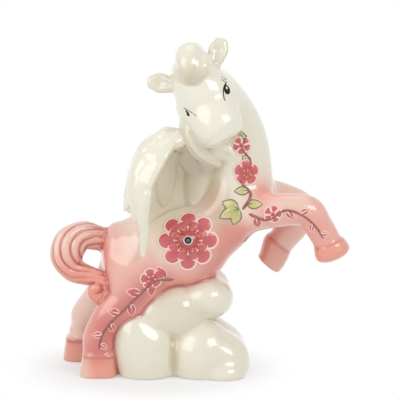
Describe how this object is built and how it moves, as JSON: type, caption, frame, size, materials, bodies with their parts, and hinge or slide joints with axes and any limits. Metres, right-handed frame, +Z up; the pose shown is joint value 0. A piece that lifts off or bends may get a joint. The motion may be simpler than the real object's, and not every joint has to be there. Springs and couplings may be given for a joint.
{
  "type": "winged horse figurine",
  "caption": "Glazed porcelain figurine of a rearing winged horse on a bank of clouds, head turned to one side, with cupped feathered wings, a looped tail and a crystal on the flank.",
  "frame": {"origin": "on the ground, under the centre of the bounding box", "axes": "+Z up, the horse faces +X and its right side faces -Y"},
  "size_m": [0.147, 0.0692, 0.1702],
  "materials": {
    "ivory_glaze": "high gloss clear glaze over ivory porcelain",
    "rose_glaze": "high gloss glaze, ivory shaded to rose",
    "pink_glaze": "high gloss glaze, airbrushed pink",
    "cloud_glaze": "high gloss clear glaze over ivory porcelain",
    "crimson_enamel": "raised enamel with pale outlines",
    "cup_metal": "bright plated",
    "crystal_glass": "faceted dark crystal"
  },
  "bodies": {
    "root": {"cloud_base": "cloud_glaze", "cloud_cushion": "cloud_glaze", "torso": "rose_glaze", "neck": "ivory_glaze", "head": "ivory_glaze", "ear_right": "ivory_glaze", "ear_left": "ivory_glaze", "forelock": "ivory_glaze", "mane": "ivory_glaze", "wing_right": "ivory_glaze", "wing_left": "ivory_glaze", "foreleg_right": "pink_glaze", "foreleg_left": "pink_glaze", "hindleg_right": "pink_glaze", "hindleg_left": "pink_glaze", "tail": "pink_glaze", "flank_rosette": "crimson_enamel", "crystal_cup": "cup_metal", "crystal": "crystal_glass"}
  },
  "joints": []
}
